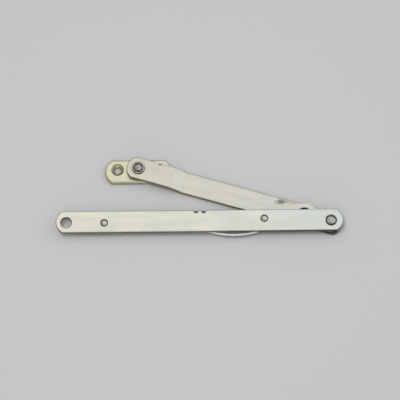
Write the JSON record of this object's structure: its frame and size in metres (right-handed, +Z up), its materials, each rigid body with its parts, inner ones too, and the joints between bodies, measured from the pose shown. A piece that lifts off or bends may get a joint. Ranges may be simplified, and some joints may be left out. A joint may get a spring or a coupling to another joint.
{
  "type": "window safety stay",
  "caption": "Folding window stay: a long flat bar with a frame bore, an arm riveted under it, a slotted limit link, a wire catch spring and a swivelling screw-on sash bracket.",
  "frame": {"origin": "centre of the frame bore, on the underside of the long bar", "axes": "+X along the long bar from the frame bore to the main pivot, +Y to the side that the arm opens to, +Z up through the plates along every pivot axis, out of the bar's upper face"},
  "size_m": [0.1796, 0.0528, 0.008],
  "materials": {
    "zinc_strip": "satin zinc",
    "zinc_link": "satin zinc",
    "zinc_bracket": "satin zinc",
    "rivet_steel": "hammered",
    "washer_steel": "satin",
    "spring_steel": "bright"
  },
  "bodies": {
    "bar": {"bar": "zinc_strip", "pivot_rivet": "rivet_steel", "pivot_spacer": "washer_steel", "guide_stud": "rivet_steel", "spring_stud": "rivet_steel", "catch_spring": "spring_steel"},
    "arm": {"arm": "zinc_strip", "link_rivet": "rivet_steel"},
    "link": {"limit_link": "zinc_link"},
    "bracket": {"sash_bracket": "zinc_bracket", "bracket_rivet": "rivet_steel", "bracket_washer": "washer_steel"}
  },
  "joints": [
    {"name": "arm_swing", "type": "hinge", "parent": "bar", "child": "arm", "pos_m": [0.1655, 0, 0], "axis": [0, 0, -1], "range_deg": [-8, 43.2]},
    {"name": "link_turn", "type": "hinge", "parent": "arm", "child": "link", "pos_m": [0.14903, 0.00497, 0], "axis": [0, 0, 1], "range_deg": [-11.49, 61.83]},
    {"name": "bracket_swivel", "type": "hinge", "parent": "arm", "child": "bracket", "pos_m": [0.04488, 0.03642, 0], "axis": [0, 0, 1], "continuous": true}
  ],
  "couplings": [
    {"joint": "link_turn", "follows": "arm_swing", "ratio": 1.43}
  ]
}
